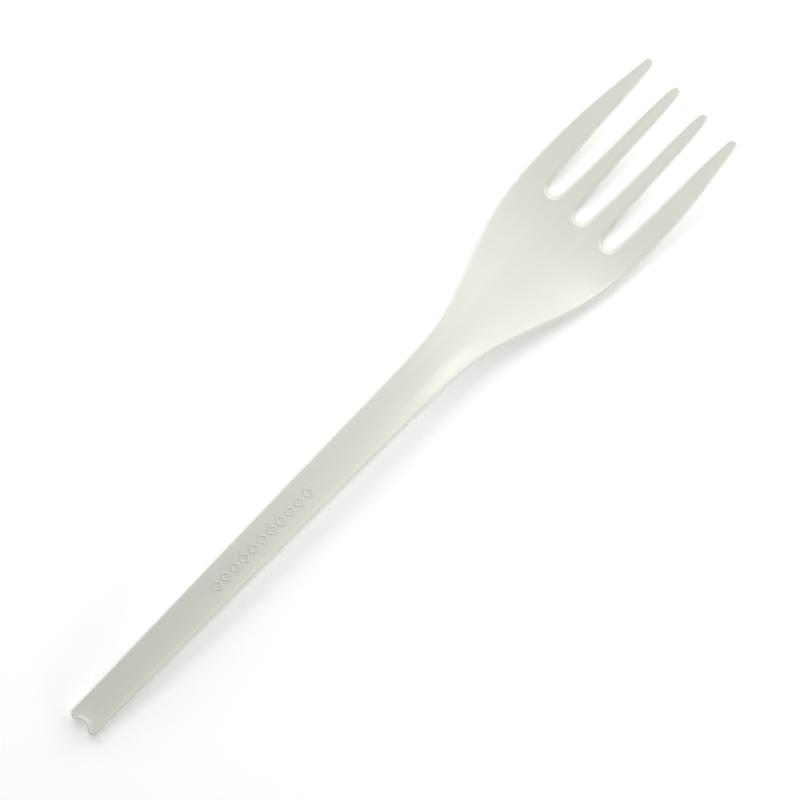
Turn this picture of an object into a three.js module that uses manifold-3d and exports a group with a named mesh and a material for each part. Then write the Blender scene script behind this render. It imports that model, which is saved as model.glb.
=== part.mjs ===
// A disposable dinner fork, moulded in one piece, lying face up on the table it rests on.
// Millimetres. +X runs from the tail to the tips, +Z is up. The origin is under the middle of the fork.

import * as THREE from 'three';
import { LoftGeometry } from 'three/addons/geometries/LoftGeometry.js';
import { mergeVertices } from 'three/addons/utils/BufferGeometryUtils.js';
import Module from 'manifold-3d';

// Whole fork
const length = 165;
const tineCount = 4;

// Half of the width, at distances from the tail
const widthStations = [0, 52, 86, 96, 104, 112, 120, 128, 138, 150, 157, 165];
const halfWidths = [3.64, 4.13, 4.51, 4.73, 5.59, 8.11, 11.27, 13.38, 14.03, 13.54, 12.65, 11.5];

// Height of the upper face along the middle, at distances from the tail
const heightStations = [0, 22, 46, 74, 87, 98, 108, 118, 128, 138, 150, 165];
const heights = [2.45, 5.75, 8.45, 9.8, 9.55, 8.5, 6.05, 3.35, 1.95, 2.75, 6.3, 11.7];

// Where the handle turns into the bowl, and where the tines start to thin and lose the bowl's dish
const flareStart = 92;
const flareEnd = 124;
const tineStart = 142;

// Section. The tips are thinner and flatter than the bowl.
const troughDepth = 0.75; // of the handle's hollow upper face
const bowlDish = 1;
const tipDish = 0.4;
const handleSide = 3.2; // height of the handle's side walls
const bowlSide = 2.2;
const tipSide = 1.55;
const handleWeb = 1.5; // thickness between the side walls
const bowlWeb = 2;
const tipWeb = 1.35;
const sideWall = 1.15;
const crestInset = 0.7; // from the outline in to the crest
const crestRound = 0.4;
const footInset = 0.12;
const undersideLip = 0.2;
const tailWall = 1.3; // closes the hollow underside at the tail
const pocketRun = 1.5; // slope from the tail wall up to the hollow's full depth
const tailRim = 1.2; // width of the rim round the tail's end, which stands as high as the crests
const tailRimRun = 2.2; // slope from that rim down into the trough

// Tail
const lobeY = 2.15;
const lobeRadius = 1.49;
const notchDepth = 1;

// Tines. The slots are narrower at the underside of the bowl, where their walls lean.
const slotPitch = 7.12;
const slotRoot = 133.7; // distance from the tail to the closed end of the slots
const slotHalfWidth = 1.84;
const slotDraft = 0.3; // that each wall leans in, through the bowl's thickness
const slotFlare = 154; // distance from the tail to where the slots start to widen
const slotFlareHalfWidth = 2.02;
const tipRadius = 1;
const shoulderLength = 2.2; // of the tines' sides where they curve in to the tips
const shoulderBulge = 0.35;
const outerTipY = 10.68;
const innerTipY = 3.49;
const innerTipSetback = 0.3;

// Steps
const stationCount = 100;
const topSteps = 4; // across half of the upper face
const arcSteps = 10;
const clear = 5; // how far the cutting shapes reach past the fork

const wasm = await Module();
wasm.setup();

const { lerp, smoothstep } = THREE.MathUtils;
const widthCurve = new THREE.CubicInterpolant(widthStations, halfWidths, 1);
const heightCurve = new THREE.CubicInterpolant(heightStations, heights, 1);
const halfWidthAt = (x) => widthCurve.evaluate(x)[0];
const heightAt = (x) => heightCurve.evaluate(x)[0];

// A size that changes over the flare from the handle's to the bowl's, and along the tines to the tips'
function blend(x, handleSize, bowlSize, tipSize) {
  const headSize = lerp(bowlSize, tipSize, smoothstep(x, tineStart, length));
  return lerp(handleSize, headSize, smoothstep(x, flareStart, flareEnd));
}

// How far the upper face's middle lies below the crests
function dishAt(x) {
  return blend(x, troughDepth, bowlDish, tipDish) * smoothstep(x, tailRim, tailRim + tailRimRun);
}

// Thickness in the middle: solid over the tail wall, then the web over the hollow underside
function webAt(x) {
  const solid = handleSide - dishAt(x) - undersideLip;
  const opened = smoothstep(x, tailWall, tailWall + pocketRun);
  return lerp(solid, blend(x, handleWeb, bowlWeb, tipWeb), opened);
}

// One side of the section at a distance from the tail, as points of (sideways, up): from the middle of
// the upper face out to the crest, down the side wall, and back along the underside to its middle
function halfSection(x) {
  const width = halfWidthAt(x);
  const crest = width - crestInset;
  const under = width - sideWall;
  const crestZ = heightAt(x) + blend(x, troughDepth, bowlDish, tipDish);
  const footZ = crestZ - blend(x, handleSide, bowlSide, tipSide);
  const faceZ = (y) => crestZ - dishAt(x) * (1 - (y / crest) ** 2);
  const points = [];
  for (let i = 0; i <= topSteps; i++) {
    const y = crest * i / topSteps;
    points.push([y, faceZ(y)]);
  }
  points.push([width - crestRound, crestZ - crestRound * 0.25]);
  points.push([width - footInset, crestZ - crestRound]);
  points.push([width, crestZ - 2 * crestRound]);
  points.push([width, footZ + footInset]);
  points.push([width - footInset, footZ]);
  points.push([under + footInset, footZ]);
  for (let i = topSteps; i >= 0; i--) {
    const y = under * i / topSteps;
    points.push([y, faceZ(y) - webAt(x)]);
  }
  return points;
}

function section(x) {
  const half = halfSection(x);
  const other = half.slice(1, -1).reverse().map(([y, z]) => [-y, z]);
  return [...half, ...other].reverse().map(([y, z]) => new THREE.Vector3(x, y, z));
}

function solidOf(geometry) {
  const places = new THREE.BufferGeometry();
  places.setAttribute('position', geometry.getAttribute('position'));
  places.setIndex(geometry.getIndex());
  const merged = mergeVertices(places);
  return new wasm.Manifold(new wasm.Mesh({
    numProp: 3,
    vertProperties: merged.getAttribute('position').array,
    triVerts: new Uint32Array(merged.index.array),
  }));
}

function geometryOf(solid) {
  const mesh = solid.getMesh();
  const geometry = new THREE.BufferGeometry();
  geometry.setAttribute('position', new THREE.BufferAttribute(mesh.vertProperties, 3));
  geometry.setIndex(new THREE.BufferAttribute(mesh.triVerts, 1));
  geometry.computeVertexNormals();
  return geometry;
}

// The fork before its tail and tines are cut: sections lofted from the tail to the tips
function blank() {
  const sections = [];
  for (let i = 0; i <= stationCount; i++) {
    sections.push(section(length * i / stationCount));
  }
  return solidOf(new LoftGeometry(sections, { capStart: true, capEnd: true }));
}

// What is taken off the tail: two rounded lobes stay, with a shallow notch between them
function tailCut() {
  const shape = new THREE.Shape();
  const edge = lobeY + lobeRadius;
  shape.moveTo(-clear, -edge - clear);
  shape.lineTo(lobeRadius, -edge - clear);
  shape.lineTo(lobeRadius, -edge);
  shape.absarc(lobeRadius, -lobeY, lobeRadius, -Math.PI / 2, -Math.PI, true);
  shape.bezierCurveTo(0, -lobeY / 2, notchDepth, -lobeY / 2, notchDepth, 0);
  shape.bezierCurveTo(notchDepth, lobeY / 2, 0, lobeY / 2, 0, lobeY);
  shape.absarc(lobeRadius, lobeY, lobeRadius, Math.PI, Math.PI / 2, true);
  shape.lineTo(lobeRadius, edge + clear);
  shape.lineTo(-clear, edge + clear);
  const height = heights[0] + 2 * clear;
  const geometry = new THREE.ExtrudeGeometry(shape, {
    depth: height,
    bevelEnabled: false,
    curveSegments: arcSteps,
  });
  geometry.translate(0, 0, -clear);
  return solidOf(geometry);
}

// Middle of a tine's rounded end
function tipCentre(i) {
  const outer = i === 0 || i === tineCount - 1;
  const x = length - tipRadius - (outer ? 0 : innerTipSetback);
  const y = outer ? outerTipY : innerTipY;
  return new THREE.Vector2(x, i < tineCount / 2 ? -y : y);
}

// One slot's edge, from the tip of the tine on one side, round the root, to the tip of the next tine
function addSlot(shape, i, draft) {
  const y = (i - (tineCount - 2) / 2) * slotPitch;
  const root = slotHalfWidth - draft;
  const flare = slotFlareHalfWidth;
  const before = tipCentre(i);
  const after = tipCentre(i + 1);
  const shoulder = tipRadius + shoulderBulge;
  shape.quadraticCurveTo(before.x - shoulderLength, before.y + shoulder, slotFlare, y - flare);
  shape.lineTo(slotRoot + slotHalfWidth, y - root);
  shape.absarc(slotRoot + slotHalfWidth, y, root, -Math.PI / 2, Math.PI / 2, true);
  shape.lineTo(slotFlare, y + flare);
  shape.quadraticCurveTo(after.x - shoulderLength, after.y - shoulder, after.x, after.y - tipRadius);
}

// A comb that fills the slots and the space beyond the round ends of the tines
function combOutline(z, draft) {
  const shape = new THREE.Shape();
  const side = Math.max(...halfWidths) + clear;
  shape.moveTo(length + clear, -side);
  shape.lineTo(length - tipRadius, -side);
  for (let i = 0; i < tineCount; i++) {
    const tip = tipCentre(i);
    shape.absarc(tip.x, tip.y, tipRadius, -Math.PI / 2, Math.PI / 2, false);
    if (i < tineCount - 1) {
      addSlot(shape, i, draft);
    }
  }
  shape.lineTo(length - tipRadius, side);
  shape.lineTo(length + clear, side);
  return shape.getPoints(arcSteps).reverse().map((p) => new THREE.Vector3(p.x, p.y, z));
}

function tineCut() {
  const sections = [
    combOutline(-clear, slotDraft),
    combOutline(0, slotDraft),
    combOutline(bowlWeb, 0),
    combOutline(Math.max(...heights) + clear, 0),
  ];
  return solidOf(new LoftGeometry(sections, { capStart: true, capEnd: true }));
}

// What would reach below the table: without it the tail and the bowl each stand on a small flat
function tableCut() {
  const geometry = new THREE.BoxGeometry(length + 2 * clear, 2 * Math.max(...halfWidths) + 2 * clear, clear);
  geometry.translate(length / 2, 0, -clear / 2);
  return solidOf(geometry);
}

function makeFork() {
  const solid = blank().subtract(tailCut()).subtract(tineCut()).subtract(tableCut());
  const plastic = new THREE.MeshStandardMaterial({ color: 0xe3e4da, roughness: 0.4, metalness: 0 });
  const fork = new THREE.Mesh(geometryOf(solid), plastic);
  fork.name = 'fork';
  fork.position.x = -length / 2;
  return fork;
}

const root = new THREE.Group();
root.add(makeFork());

export default root;
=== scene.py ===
# A disposable fork, moulded in one piece, lying face up on a white table.
# Its sizes are in millimetres from the tail, and a finished mesh is turned to the frame's metres.

import bisect
import math

import bmesh
import bpy
from mathutils import Matrix, Vector
from mathutils.bvhtree import BVHTree


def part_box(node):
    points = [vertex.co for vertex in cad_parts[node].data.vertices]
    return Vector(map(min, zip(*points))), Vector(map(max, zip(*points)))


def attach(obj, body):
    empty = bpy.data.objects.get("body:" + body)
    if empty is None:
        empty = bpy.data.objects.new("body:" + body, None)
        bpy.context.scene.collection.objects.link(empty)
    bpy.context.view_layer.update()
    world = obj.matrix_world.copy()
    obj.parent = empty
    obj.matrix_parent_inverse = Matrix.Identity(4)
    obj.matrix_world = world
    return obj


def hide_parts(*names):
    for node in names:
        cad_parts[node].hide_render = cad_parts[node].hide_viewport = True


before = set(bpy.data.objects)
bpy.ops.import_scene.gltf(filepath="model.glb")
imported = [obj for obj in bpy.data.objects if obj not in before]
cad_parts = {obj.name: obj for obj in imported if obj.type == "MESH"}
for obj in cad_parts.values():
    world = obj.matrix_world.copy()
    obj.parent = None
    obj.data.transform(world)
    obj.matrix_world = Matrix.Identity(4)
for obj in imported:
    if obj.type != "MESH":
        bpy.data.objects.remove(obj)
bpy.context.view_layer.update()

mm = 0.001
cadLow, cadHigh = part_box("fork")
forkLength = (cadHigh.x - cadLow.x) / mm


def smoothThrough(sizes, x):  # a smooth line through sizes that are given by their distance from the tail
    stations = list(sizes)
    slopes = [(sizes[b] - sizes[a]) / (b - a) for a, b in zip(stations, stations[1:])]
    last = len(slopes) - 1
    i = min(max(bisect.bisect_right(stations, x) - 1, 0), last)
    start = stations[i]
    span = stations[i + 1] - start
    slopeIn = (slopes[max(i - 1, 0)] + slopes[i]) / 2
    slopeOut = (slopes[i] + slopes[min(i + 1, last)]) / 2
    t = (x - start) / span
    straight = slopes[i] * t * t * (3 - 2 * t)
    return sizes[start] + span * (straight + slopeIn * t * (1 - t) ** 2 - slopeOut * t * t * (1 - t))


def ease(x, start, end):  # 0 before start, 1 after end
    t = min(max((x - start) / (end - start), 0), 1)
    return t * t * (3 - 2 * t)


# The fork

fork = {
    "halfWidth": {0: 3.64, 52: 4.13, 86: 4.51, 96: 4.73, 104: 5.59, 112: 8.11, 120: 11.27,
                  128: 13.38, 138: 14.03, 150: 13.54, 157: 12.65, 165: 11.5},
    "height": {0: 2.45, 22: 5.75, 46: 8.45, 74: 9.8, 87: 9.55, 98: 8.5, 108: 6.05, 118: 3.35,
               128: 1.95, 138: 2.75, 150: 6.3, 165: 11.7},  # of the upper face, on the middle line
    "flare": (92, 124),  # where the handle turns into the bowl
    "tines": (142, 165),  # where the tines thin, and lose the bowl's dish
    "slotCentre": 135.16,  # of the round at the slots' closed end
    "slotPitch": 7.12,
    "slotHalf": {135.16: 1.46, 142: 1.75, 150: 1.98, 154: 2.02},  # at the underside
    "shoulder": 154,  # where the tines start to round in to their tips
    "shoulderLength": 2.2,
    "shoulderBulge": 0.35,
    "tipRadius": 1,
    "tipPull": 1.05,  # makes up for what the subdivision takes off a round tip
    "tipSetback": 0.3,  # of the inner tips
    "tipY": (3.49, 10.68),
    "lobeY": 2.15,
    "lobeRadius": 1.49,
    "lobePull": 1.12,  # makes up for what the subdivision takes off the lobes
    "lobeSpread": 1.14,  # times lobeY, how far out the tail's lines go before its rounded corner
    "notchDepth": 1,
    "edgeBand": 1.75,  # outermost strip of the handle, which the steps of its edge fit in
    "crestInset": 0.68,  # from the outline in to the crest
    "side": (3.2, 2.1, 1.55),  # height of the side walls: handle, bowl, tips
    "dish": (0.75, 1, 0.4),  # how far the crest stands over the middle line
    "dip": (0.13, 0.05, 0.03),  # the part of that just inside the crest
    "tailRim": (1.2, 3.4),  # where the dish comes in, past the rim round the tail's end
    "web": (1.55, 1.95, 1.4),  # thickness between the side walls
    "pocket": (2, 124),  # where the hollow underside starts and ends
    # the steps that shape the edge, as how far in and how far up
    "wallFoot": (0.03, 0.25),
    "wallLean": 0.25,  # how far in the side wall goes from there
    "tailLean": (1, 5, 0.2),  # it comes in between these distances, from this part of it at the tail
    "rounding": ((0.08, 0.32), (0.12, 0.3), (0.3, 0.13)),  # from the wall over to the crest
    "crestInner": 0.4,  # from the crest in to the face
    "tineSteps": 0.5,  # the part of each step in that is left at the tips
    "underFoot": (0.15, -0.1),  # at the edge of the underside
    "pocketWall": ((0.8, 0), (0.12, 0.2), (0.15, 0.65), (0.25, 0.15)),  # up by parts of its depth
}
columns = (2, 2, 4, 3)  # faces across half a slot, an inner tine, a slot and an outer tine
slotLines = (0, 6)  # lines of the mesh that run down the middle of a slot
tineLines = ((2, 4), (8, 11))  # the first and the last line of each tine
shoulderSteps = 5
lobeRow = (2.3, 1.45)  # distance of the row next to the tail's: on the middle line, and at the edge
handleRows = [4.6, 8] + [13 + 5 * k for k in range(17)] + [96.5 + 3.2 * k for k in range(12)]
rootPlace = 134.5  # distance of the row that runs round the closed end of the slots, where it is straight
rootAngle = 30  # degrees from one line to the next round that end
slotRows = (135.3, 138.5, 142, 146, 150, fork["shoulder"])
touching = 0.0005  # points nearer than this are one


def sizeAt(name, x):  # a size that changes over the flare and again along the tines
    handle, bowl, tip = fork[name]
    head = bowl + (tip - bowl) * ease(x, *fork["tines"])
    return handle + (head - handle) * ease(x, *fork["flare"])


def acrossHead(edges):  # the lines of the mesh, spaced evenly between the edges of slots and tines
    points = [start.lerp(end, k / n) for start, end, n in zip(edges, edges[1:], columns) for k in range(n)]
    return points + [edges[-1]]


def planRow(x):  # half a row of points straight across the fork, from its middle line out
    width = smoothThrough(fork["halfWidth"], x)
    if x < fork["slotCentre"]:
        atSlots = planRow(fork["slotCentre"])
        scale = (width - fork["edgeBand"]) / atSlots[-2].y
        head = [Vector((x, point.y * scale)) for point in atSlots[:-1]]
    else:
        slot = smoothThrough(fork["slotHalf"], x)
        inner, outer = fork["slotPitch"] - slot, fork["slotPitch"] + slot
        head = acrossHead([Vector((x, y)) for y in (0, slot, inner, outer, width)])[:-1]
    last = len(head) - 1
    handle = [Vector((x, (width - fork["edgeBand"]) * line / last)) for line in range(last + 1)]
    edge = Vector((x, width))
    return [a.lerp(b, ease(x, *fork["flare"])) for a, b in zip(handle, head)] + [edge]


def tailRow():  # two round lobes with a notch between them
    points = []
    spread = fork["lobeSpread"] * fork["lobeY"]
    steps = sum(columns) - 1
    for line in range(steps + 1):
        y = spread * line / steps
        if y < fork["lobeY"]:
            x = fork["notchDepth"] * (1 + math.cos(math.pi * y / fork["lobeY"])) / 2
        else:
            x = fork["lobeRadius"] - math.sqrt(fork["lobeRadius"] ** 2 - (y - fork["lobeY"]) ** 2)
        points.append(Vector((x, y)))
    corner = fork["lobeRadius"] * fork["lobePull"] * math.sqrt(0.5)
    points.append(Vector((fork["lobeRadius"] - corner, fork["lobeY"] + corner)))
    return points


def rootRow(x):  # the row that runs round the closed end of the slots
    points = planRow(x)
    slot = smoothThrough(fork["slotHalf"], fork["slotCentre"])
    reach = columns[0]
    for number, middle in enumerate(slotLines):
        y = fork["slotPitch"] * number
        for line in range(max(middle - reach, 0), middle + reach + 1):
            angle = math.radians(rootAngle * (line - middle))
            points[line] = Vector((fork["slotCentre"] - slot * math.cos(angle), y + slot * math.sin(angle)))
    return points


def tipCentre(tine):
    x = forkLength - fork["tipRadius"] - (fork["tipSetback"] if tine == 0 else 0)
    return Vector((x, fork["tipY"][tine]))


def shoulderRow(t):  # along the tines' rounded shoulders, from 0 at their start to 1 at the tips' centres
    start = planRow(fork["shoulder"])
    edges = [Vector((fork["shoulder"], 0))]
    for tine, lines in enumerate(tineLines):
        for line, side in zip(lines, (-1, 1)):
            end = tipCentre(tine) + Vector((0, side * fork["tipRadius"]))
            bend = end + Vector((-fork["shoulderLength"], side * fork["shoulderBulge"]))
            point = start[line] * (1 - t) ** 2 + bend * 2 * t * (1 - t) + end * t * t
            if line == tineLines[1][1] and t < 1:
                point.y = smoothThrough(fork["halfWidth"], point.x)
            edges.append(point)
    return acrossHead(edges)


def tipRow():
    points = shoulderRow(1)
    for tine, (first, last) in enumerate(tineLines):
        for line in range(first, last + 1):
            angle = math.pi * (line - (first + last) / 2) / (last - first + 2)
            reach = Vector((math.cos(angle), math.sin(angle))) * fork["tipRadius"] * fork["tipPull"]
            points[line] = tipCentre(tine) + reach
    return points


def planRows():  # every row, from the tail to the tips, and the number of the one at the slots' closed end
    second = planRow(lobeRow[0])
    second[-1].x = lobeRow[1]
    rows = [tailRow(), second] + [planRow(x) for x in handleRows]
    root = len(rows)
    rows.append(rootRow(rootPlace))
    rows += [planRow(x) for x in slotRows]
    rows += [shoulderRow((k + 1) / shoulderSteps) for k in range(shoulderSteps)]
    rows.append(tipRow())
    return rows, root


def forkSheet():  # the fork's outline as one flat sheet of faces
    rows, root = planRows()
    across = len(rows[0]) - 1
    along = len(rows) - 1
    bm = bmesh.new()
    bmesh.ops.create_grid(bm, x_segments=along, y_segments=across, size=1)
    reach = columns[0]
    openColumns = {c for m in slotLines for c in range(m - reach, m + reach)}
    slots = []
    for face in bm.faces:
        middle = face.calc_center_median()
        row = math.floor((middle.x + 1) / 2 * along)
        column = math.floor((middle.y + 1) / 2 * across)
        if row >= root and column in openColumns:
            slots.append(face)
    for vert in bm.verts:
        row = round((vert.co.x + 1) / 2 * along)
        line = round((vert.co.y + 1) / 2 * across)
        vert.co = rows[row][line].to_3d()
    bmesh.ops.delete(bm, geom=slots, context="FACES")
    bmesh.ops.mirror(bm, geom=bm.verts[:] + bm.edges[:] + bm.faces[:], axis="Y", merge_dist=touching)
    bmesh.ops.recalc_face_normals(bm, faces=bm.faces[:])
    if bm.faces[0].normal.z < 0:
        bmesh.ops.reverse_faces(bm, faces=bm.faces[:])
    return bm


# draws a region's edge in, less on the tines and, if so asked, at the tail's end, and lifts the region
def stepIn(bm, faces, inward, up, atTail=(0, 1, 1)):
    ring = bmesh.ops.inset_region(bm, faces=faces, thickness=inward, use_even_offset=True, use_boundary=True)
    region = {vert for face in faces for vert in face.verts}
    moved = {}
    for edge in {edge for face in ring["faces"] for edge in face.edges}:
        a, b = edge.verts
        if (a in region) != (b in region):
            inner, outer = (a, b) if a in region else (b, a)
            moved[inner] = outer
    start, end, left = atTail
    for inner, outer in moved.items():
        onTines = (1 - fork["tineSteps"]) * ease(outer.co.x, *fork["tines"])
        onTail = (1 - left) * (1 - ease(outer.co.x, start, end))
        inner.co.xy = outer.co.xy.lerp(inner.co.xy, 1 - onTines - onTail)
    for vert in region:
        vert.co.z += up(vert.co.x) if callable(up) else up


def lift(x, y):  # from the flat sheet, whose crest is at 0, to the fork's arched and dished upper face
    crest = smoothThrough(fork["halfWidth"], x) - fork["crestInset"]
    dish = sizeAt("dish", x)
    middle = (dish - sizeAt("dip", x)) * ease(x, *fork["tailRim"])
    return smoothThrough(fork["height"], x) + dish - middle * (1 - min(1, (y / crest) ** 2))


def wallHeight(x):  # from the underside's edge up to the crest
    return sizeAt("side", x) + fork["underFoot"][1]


def pocketDepth(x):
    return sizeAt("side", x) - sizeAt("web", x)


def moulded():
    bm = forkSheet()
    top = bm.faces[:]
    copied = bmesh.ops.duplicate(bm, geom=bm.verts[:] + bm.edges[:] + top)
    bottom = [item for item in copied["geom"] if isinstance(item, bmesh.types.BMFace)]
    bmesh.ops.reverse_faces(bm, faces=bottom)
    for vert in bm.verts:
        vert.co.z = -wallHeight(vert.co.x)

    # up the side wall, round its upper edge to the crest, and down to the face inside it
    others = fork["wallFoot"][1] + sum(up for inward, up in fork["rounding"])
    stepIn(bm, top, *fork["wallFoot"])
    stepIn(bm, top, fork["wallLean"], lambda x: wallHeight(x) - others, fork["tailLean"])
    for inward, up in fork["rounding"]:
        stepIn(bm, top, inward, up)
    stepIn(bm, top, fork["crestInner"], lambda x: -sizeAt("dip", x))

    # round the foot of the wall, and up into the hollow underside of the handle
    stepIn(bm, bottom, *fork["underFoot"])
    start, end = fork["pocket"]
    hollow = [face for face in bottom if start < face.calc_center_median().x < end]
    for inward, part in fork["pocketWall"]:
        stepIn(bm, hollow, inward, lambda x: part * pocketDepth(x))

    bmesh.ops.remove_doubles(bm, verts=bm.verts[:], dist=touching)
    flow = bm.verts.layers.float_vector.new("flow")
    for vert in bm.verts:
        x, y, z = vert.co
        vert[flow] = Vector((x, y / smoothThrough(fork["halfWidth"], x), 0))
        vert.co.z = max(z + lift(x, y), 0)
    bmesh.ops.recalc_face_normals(bm, faces=bm.faces[:])
    return bm


def finishPiece(bm, name, levels):  # a mesh in millimetres from the tail becomes a piece in the frame
    bmesh.ops.translate(bm, verts=bm.verts[:], vec=(-forkLength / 2, 0, 0))
    bmesh.ops.scale(bm, verts=bm.verts[:], vec=(mm, mm, mm))
    mesh = bpy.data.meshes.new(name)
    bm.to_mesh(mesh)
    bm.free()
    mesh.shade_smooth()
    piece = bpy.data.objects.new(name, mesh)
    bpy.context.scene.collection.objects.link(piece)
    if levels:
        smoothing = piece.modifiers.new("smoothing", "SUBSURF")
        smoothing.levels = levels
        smoothing.render_levels = levels
    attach(piece, "root")
    return piece


forkBody = finishPiece(moulded(), "fork_body", 2)
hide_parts("fork")
print("fork moulded")


# The raised ornament on the handle: a row of lozenges

ornament = {
    "count": 11,
    "first": 38.6,  # distance from the tail to the first one's centre
    "last": 63.4,
    "length": 2.1,
    "width": 2.5,
    "line": 0.24,
    "raised": 0.12,
    "sunk": 0.25,  # below the face that it stands on
    "rounding": 0.07,
    "sharp": 1,  # edges of the tops that turn more than this, in radians, are rounded
}


def lozengeRow(carrier):
    bm = bmesh.new()
    for k in range(ornament["count"]):
        x = ornament["first"] + (ornament["last"] - ornament["first"]) * k / (ornament["count"] - 1)
        shape = bmesh.ops.create_circle(bm, cap_ends=True, segments=4, radius=0.5)
        stretch = Matrix.Diagonal((ornament["length"], ornament["width"], 1, 1))
        bmesh.ops.transform(bm, matrix=Matrix.Translation((x, 0, 0)) @ stretch, verts=shape["verts"])
        middle = [face for face in bm.faces if all(v in shape["verts"] for v in face.verts)]
        bmesh.ops.inset_region(bm, faces=middle, thickness=ornament["line"], use_even_offset=True,
                               use_boundary=True)
        bmesh.ops.delete(bm, geom=middle, context="FACES_ONLY")
    bmesh.ops.recalc_face_normals(bm, faces=bm.faces[:])
    raised = bmesh.ops.extrude_face_region(bm, geom=bm.faces[:], use_keep_orig=True)
    tops = [item for item in raised["geom"] if isinstance(item, bmesh.types.BMVert)]
    bmesh.ops.translate(bm, verts=tops, vec=(0, 0, ornament["raised"] + ornament["sunk"]))
    bmesh.ops.recalc_face_normals(bm, faces=bm.faces[:])
    around = [edge for edge in bm.edges if all(vert in tops for vert in edge.verts)]
    rims = [edge for edge in around if edge.calc_face_angle(0) > ornament["sharp"]]
    bmesh.ops.bevel(bm, geom=rims, offset=ornament["rounding"], affect="EDGES", segments=3, profile=0.5,
                    material=-1, offset_type="OFFSET", clamp_overlap=True)
    surface = carrier.evaluated_get(bpy.context.evaluated_depsgraph_get()).to_mesh()
    tree = BVHTree.FromPolygons([v.co for v in surface.vertices], [p.vertices for p in surface.polygons])
    for vert in bm.verts:
        above = Vector(((vert.co.x - forkLength / 2) * mm, vert.co.y * mm, cadHigh.z + 10 * mm))
        hit = tree.ray_cast(above, Vector((0, 0, -1)))[0]
        vert.co.z += hit.z / mm - ornament["sunk"]
    return bm


forkOrnament = finishPiece(lozengeRow(forkBody), "handle_ornament", 0)
print("ornament raised")


# Materials

def linear(colour, alpha=1):  # an sRGB hex colour, as the linear values that the shaders take
    parts = [int(colour[i:i + 2], 16) / 255 for i in (1, 3, 5)]
    return [p / 12.92 if p <= 0.04045 else ((p + 0.055) / 1.055) ** 2.4 for p in parts] + [alpha]


def addNode(material, kind, settings=None, values=None, links=None):
    tree = material.node_tree
    node = tree.nodes.new(kind)
    for name, value in (settings or {}).items():
        setattr(node, name, value)
    for name, value in (values or {}).items():
        node.inputs[name].default_value = value
    for name, socket in (links or {}).items():
        tree.links.new(socket, node.inputs[name])
    return node


def newMaterial(name):
    material = bpy.data.materials.new(name)
    material.use_nodes = True
    material.node_tree.nodes.clear()
    return material


plastic = {
    "colour": "#E3E4DA",
    "streakDark": "#E2E3D9",
    "streakLight": "#E5E6DD",
    "streakStops": (0.35, 0.5, 0.68),  # the noise's values at the dark, the plain and the light colour
    "streakLength": 50,
    "streakWidth": 1 / 3,  # of the fork's half width, so 1.4 in the handle
    "skinGrain": 2 / 3,  # coarser than a polished mould leaves it, so that it shows
    "skinDepth": 0.02,
    "skinStrength": 0.3,
    "roughness": 0.26,
    "ior": 1.46,
}


# Crystallised polylactide with talc, injection moulded in a polished steel mould. It is an opaque,
# faintly green white with a satin gloss and faint pale streaks where the melt flowed.
def mouldedPolylactide():
    material = newMaterial("moulded_polylactide")
    output = addNode(material, "ShaderNodeOutputMaterial")
    flow = addNode(material, "ShaderNodeAttribute", {"attribute_name": "flow"})
    place = addNode(material, "ShaderNodeTexCoord")
    scale = (1 / plastic["streakLength"], 1 / plastic["streakWidth"], 1)
    stretched = addNode(material, "ShaderNodeMapping", values={"Scale": scale},
                        links={"Vector": flow.outputs["Vector"]})
    streaks = addNode(material, "ShaderNodeTexNoise", values={"Scale": 1, "Detail": 3, "Roughness": 0.5},
                      links={"Vector": stretched.outputs["Vector"]})
    ramp = addNode(material, "ShaderNodeValToRGB", links={"Fac": streaks.outputs["Fac"]})
    dark, plain, pale = plastic["streakStops"]
    ramp.color_ramp.elements[0].position = dark
    ramp.color_ramp.elements[0].color = linear(plastic["streakDark"])
    ramp.color_ramp.elements[1].position = pale
    ramp.color_ramp.elements[1].color = linear(plastic["streakLight"])
    middle = ramp.color_ramp.elements.new(plain)
    middle.color = linear(plastic["colour"])
    skin = addNode(material, "ShaderNodeTexNoise",
                   values={"Scale": 1 / (plastic["skinGrain"] * mm), "Detail": 3, "Roughness": 0.6},
                   links={"Vector": place.outputs["Object"]})
    bump = addNode(material, "ShaderNodeBump",
                   values={"Strength": plastic["skinStrength"], "Distance": plastic["skinDepth"] * mm},
                   links={"Height": skin.outputs["Fac"]})
    shader = addNode(material, "ShaderNodeBsdfPrincipled",
                     values={"Roughness": plastic["roughness"], "IOR": plastic["ior"]},
                     links={"Base Color": ramp.outputs["Color"], "Normal": bump.outputs["Normal"]})
    material.node_tree.links.new(shader.outputs["BSDF"], output.inputs["Surface"])
    return material


forkPlastic = mouldedPolylactide()
for piece in (forkBody, forkOrnament):
    piece.data.materials.append(forkPlastic)
print("plastic made")


# Table, light and camera

table = {
    "colour": "#FAFAFA",
    "glow": 0.28,  # what the camera sees on top of the lit colour, so that the table reads white
    "half": 1500,
    "gap": 0.02,  # under the fork
}


def seenDirectly(material):  # 1 for what the camera sees, also through a reflection or glass
    path = addNode(material, "ShaderNodeLightPath")
    seen = path.outputs["Is Camera Ray"]
    for name in ("Is Glossy Ray", "Is Transmission Ray"):
        both = addNode(material, "ShaderNodeMath", {"operation": "MAXIMUM"})
        material.node_tree.links.new(seen, both.inputs[0])
        material.node_tree.links.new(path.outputs[name], both.inputs[1])
        seen = both.outputs["Value"]
    return seen


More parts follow.
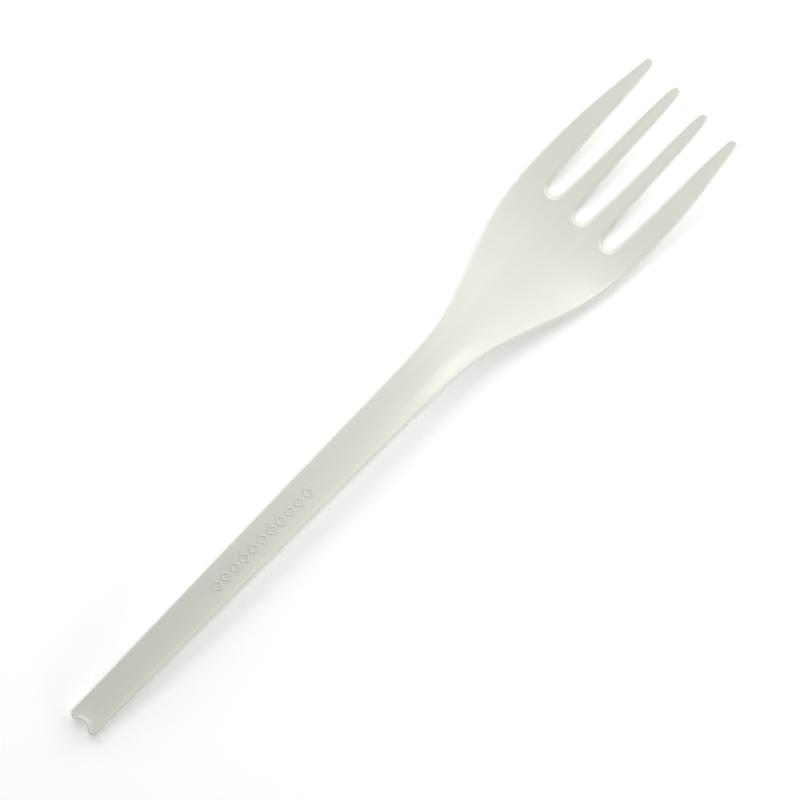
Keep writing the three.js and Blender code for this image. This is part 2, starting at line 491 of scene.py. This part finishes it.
def tablePaper():
    material = newMaterial("matt_white_paper")
    output = addNode(material, "ShaderNodeOutputMaterial")
    lit = addNode(material, "ShaderNodeBsdfDiffuse", values={"Color": linear(table["colour"])})
    strength = addNode(material, "ShaderNodeMath", {"operation": "MULTIPLY"})
    material.node_tree.links.new(seenDirectly(material), strength.inputs[0])
    strength.inputs[1].default_value = table["glow"]
    glow = addNode(material, "ShaderNodeEmission", links={"Strength": strength.outputs["Value"]})
    both = addNode(material, "ShaderNodeAddShader")
    material.node_tree.links.new(lit.outputs["BSDF"], both.inputs[0])
    material.node_tree.links.new(glow.outputs["Emission"], both.inputs[1])
    material.node_tree.links.new(both.outputs["Shader"], output.inputs["Surface"])
    return material


def makeTable():
    bm = bmesh.new()
    bmesh.ops.create_grid(bm, x_segments=1, y_segments=1, size=table["half"] * mm)
    bmesh.ops.translate(bm, verts=bm.verts[:], vec=(0, 0, cadLow.z - table["gap"] * mm))
    mesh = bpy.data.meshes.new("table")
    bm.to_mesh(mesh)
    bm.free()
    top = bpy.data.objects.new("table", mesh)
    bpy.context.scene.collection.objects.link(top)
    mesh.materials.append(tablePaper())


light = {
    "horizon": 1.95,  # the room's light level with the table
    "fade": 0.7,  # sine of the height at which it is gone
    "lamps": {
        "key": {"place": (104, 163, 353), "aim": (10, 0, 5), "size": 180, "power": 0.46},
        "tips": {"place": (520, 0, 300), "aim": (0, 0, 5), "size": 500, "power": 1.6},
        "left": {"place": (40, 192, 161), "aim": (40, 0, 5), "size": 160, "power": 0.1},
        "right": {"place": (67, -268, 127), "aim": (20, 0, 5), "size": 80, "power": 0.1},
    },
}


def makeRoom():  # brightest near the horizon, and white to the camera
    world = bpy.data.worlds.new("room")
    world.use_nodes = True
    world.node_tree.nodes.clear()
    bpy.context.scene.world = world
    output = addNode(world, "ShaderNodeOutputWorld")
    direction = addNode(world, "ShaderNodeTexCoord")
    height = addNode(world, "ShaderNodeSeparateXYZ", links={"Vector": direction.outputs["Generated"]})
    fading = addNode(world, "ShaderNodeMapRange",
                     values={"From Max": light["fade"], "To Min": light["horizon"], "To Max": 0},
                     links={"Value": height.outputs["Z"]})
    strength = addNode(world, "ShaderNodeMapRange", values={"To Max": 1},
                       links={"Value": seenDirectly(world), "To Min": fading.outputs["Result"]})
    room = addNode(world, "ShaderNodeBackground", links={"Strength": strength.outputs["Result"]})
    room.inputs["Color"].default_value = (1, 1, 1, 1)
    world.node_tree.links.new(room.outputs["Background"], output.inputs["Surface"])


def makeLamps():
    for name, values in light["lamps"].items():
        lamp = bpy.data.lights.new(name, "AREA")
        lamp.shape = "DISK"
        lamp.size = values["size"] * mm
        lamp.energy = values["power"]
        softbox = bpy.data.objects.new(name, lamp)
        bpy.context.scene.collection.objects.link(softbox)
        softbox.location = Vector(values["place"]) * mm
        aim = Vector(values["aim"]) * mm - softbox.location
        softbox.rotation_euler = aim.to_track_quat("-Z", "Y").to_euler()


view = {
    "target": (4.7, 0.05, 5),
    "distance": 700,
    "tilt": (6.5, 2),  # degrees off straight down, towards the tips and towards the fork's right side
    "turn": 45.52,  # degrees that the handle rises across the picture
    "lens": 169.4,
}


def makeCamera():
    towardTips, towardRight = [math.tan(math.radians(a)) for a in view["tilt"]]
    back = Vector((towardTips, -towardRight, 1)).normalized()
    alongFork = (Vector((1, 0, 0)) - back * back.x).normalized()
    acrossFork = back.cross(alongFork)
    turn = math.radians(view["turn"])
    right = alongFork * math.cos(turn) - acrossFork * math.sin(turn)
    up = alongFork * math.sin(turn) + acrossFork * math.cos(turn)
    camera = bpy.data.objects.new("camera", bpy.data.cameras.new("camera"))
    bpy.context.scene.collection.objects.link(camera)
    camera.data.lens = view["lens"]
    turned = Matrix((right, up, back)).transposed().to_4x4()
    place = Vector(view["target"]) * mm + back * view["distance"] * mm
    camera.matrix_world = Matrix.Translation(place) @ turned
    bpy.context.scene.camera = camera


makeTable()
makeRoom()
makeLamps()
makeCamera()
bpy.context.scene.view_settings.view_transform = "Standard"
print("table, light and camera placed")
